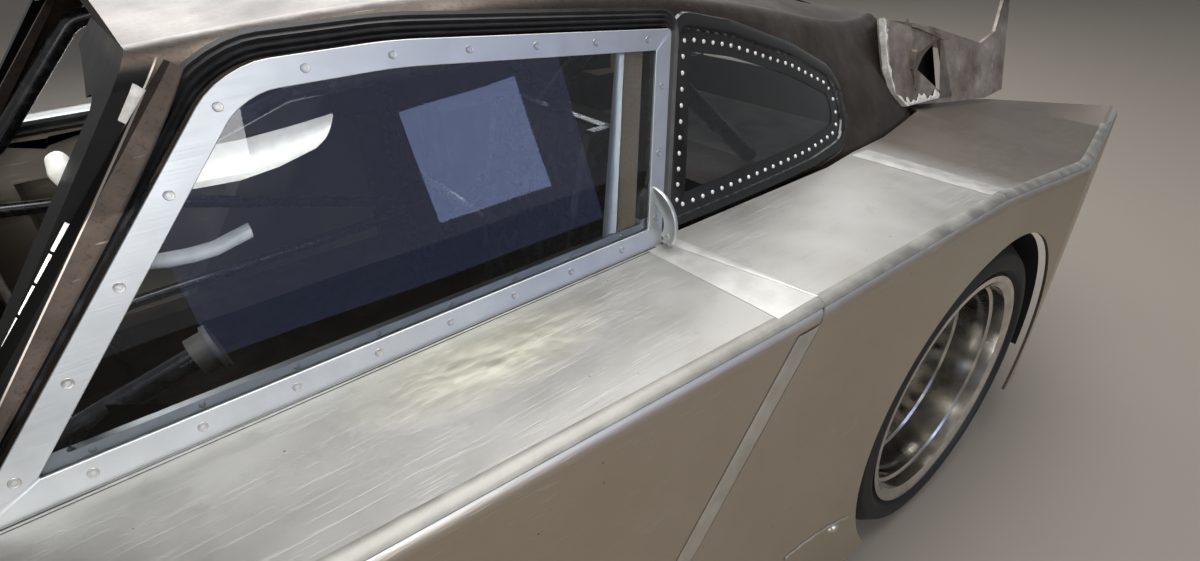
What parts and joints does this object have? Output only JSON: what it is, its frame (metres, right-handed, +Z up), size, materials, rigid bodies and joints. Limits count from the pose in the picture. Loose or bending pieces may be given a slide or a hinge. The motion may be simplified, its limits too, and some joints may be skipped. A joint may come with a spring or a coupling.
{
  "type": "wide-body racing coupe",
  "caption": "Low two-door racing coupe with square box fenders, flat-framed door windows, a roll cage, hinged doors and lids, steered front wheels, a rear wing and no windscreen.",
  "frame": {"origin": "on the floor, under the middle of the whole car", "axes": "+X forward, +Y left, +Z up"},
  "size_m": [4.55, 1.934, 1.2115],
  "materials": {
    "brushed_aluminium": "brushed, handled",
    "satin_aluminium": "satin",
    "polished_aluminium": "polished",
    "bare_steel": "bare, browned",
    "primed_panel": "sanded",
    "smoked_polycarbonate": "clear plastic over a dark cabin",
    "rubber_seal": "matt",
    "tyre_rubber": "matt",
    "black_paint": "gloss black",
    "cast_aluminium": "cast"
  },
  "bodies": {
    "chassis": {"cabin_shell": "bare_steel", "quarter_window_left": "smoked_polycarbonate", "quarter_window_right": "smoked_polycarbonate", "rear_window": "smoked_polycarbonate", "window_seal_left": "rubber_seal", "window_seal_right": "rubber_seal", "rear_fender_left": "brushed_aluminium", "rear_fender_right": "brushed_aluminium", "front_fender_left": "brushed_aluminium", "front_fender_right": "brushed_aluminium", "nose": "primed_panel", "front_tub": "bare_steel", "floor_tub": "bare_steel", "rear_tub": "bare_steel", "rear_apron": "brushed_aluminium", "roll_cage": "black_paint", "seat": "black_paint", "dash_beam": "brushed_aluminium", "steering_column": "black_paint", "gear_lever": "black_paint", "pedals": "black_paint", "mirror_inside": "black_paint", "powertrain": "cast_aluminium", "front_suspension": "black_paint", "rear_suspension": "black_paint"},
    "front_lid": {"front_lid": "primed_panel"},
    "engine_lid": {"engine_lid": "primed_panel", "rear_wing": "primed_panel"},
    "steering_wheel": {"steering_wheel": "cast_aluminium"},
    "door_left": {"door_left": "brushed_aluminium", "door_window_frame_left": "satin_aluminium", "door_pane_left": "smoked_polycarbonate"},
    "knuckle_left": {"front_knuckle_left": "black_paint"},
    "wheel_front_left": {"rim_front_left": "polished_aluminium", "tyre_front_left": "tyre_rubber"},
    "wheel_rear_left": {"rim_rear_left": "polished_aluminium", "tyre_rear_left": "tyre_rubber"},
    "door_right": {"door_right": "brushed_aluminium", "door_window_frame_right": "satin_aluminium", "door_pane_right": "smoked_polycarbonate"},
    "knuckle_right": {"front_knuckle_right": "black_paint"},
    "wheel_front_right": {"rim_front_right": "polished_aluminium", "tyre_front_right": "tyre_rubber"},
    "wheel_rear_right": {"rim_rear_right": "polished_aluminium", "tyre_rear_right": "tyre_rubber"}
  },
  "joints": [
    {"name": "door_left_hinge", "type": "hinge", "parent": "chassis", "child": "door_left", "pos_m": [0.4, 0.893, 0.45], "axis": [0, 0, -1], "range_deg": [0, 62]},
    {"name": "door_right_hinge", "type": "hinge", "parent": "chassis", "child": "door_right", "pos_m": [0.4, -0.893, 0.45], "axis": [0, 0, 1], "range_deg": [0, 62]},
    {"name": "front_lid_hinge", "type": "hinge", "parent": "chassis", "child": "front_lid", "pos_m": [0.805, 0, 0.79], "axis": [0, -1, 0], "range_deg": [0, 65]},
    {"name": "engine_lid_hinge", "type": "hinge", "parent": "chassis", "child": "engine_lid", "pos_m": [-1.412, 0, 0.985], "axis": [0, 1, 0], "range_deg": [0, 45]},
    {"name": "knuckle_left_steer", "type": "hinge", "parent": "chassis", "child": "knuckle_left", "pos_m": [1.2, 0.655, 0.312], "axis": [0, 0, 1], "range_deg": [-25, 25]},
    {"name": "knuckle_right_steer", "type": "hinge", "parent": "chassis", "child": "knuckle_right", "pos_m": [1.2, -0.655, 0.312], "axis": [0, 0, 1], "range_deg": [-25, 25]},
    {"name": "steering_wheel_turn", "type": "hinge", "parent": "chassis", "child": "steering_wheel", "pos_m": [0.14, 0.345, 0.69], "axis": [-0.9701, 0, 0.2425], "range_deg": [-300, 300]},
    {"name": "wheel_front_left_spin", "type": "hinge", "parent": "knuckle_left", "child": "wheel_front_left", "pos_m": [1.2, 0.722, 0.312], "axis": [0, 1, 0], "continuous": true},
    {"name": "wheel_rear_left_spin", "type": "hinge", "parent": "chassis", "child": "wheel_rear_left", "pos_m": [-1.071, 0.736, 0.332], "axis": [0, 1, 0], "continuous": true},
    {"name": "wheel_front_right_spin", "type": "hinge", "parent": "knuckle_right", "child": "wheel_front_right", "pos_m": [1.2, -0.722, 0.312], "axis": [0, 1, 0], "continuous": true},
    {"name": "wheel_rear_right_spin", "type": "hinge", "parent": "chassis", "child": "wheel_rear_right", "pos_m": [-1.071, -0.736, 0.332], "axis": [0, 1, 0], "continuous": true}
  ],
  "couplings": [
    {"joint": "knuckle_right_steer", "follows": "knuckle_left_steer", "ratio": 1},
    {"joint": "steering_wheel_turn", "follows": "knuckle_left_steer", "ratio": 12}
  ]
}
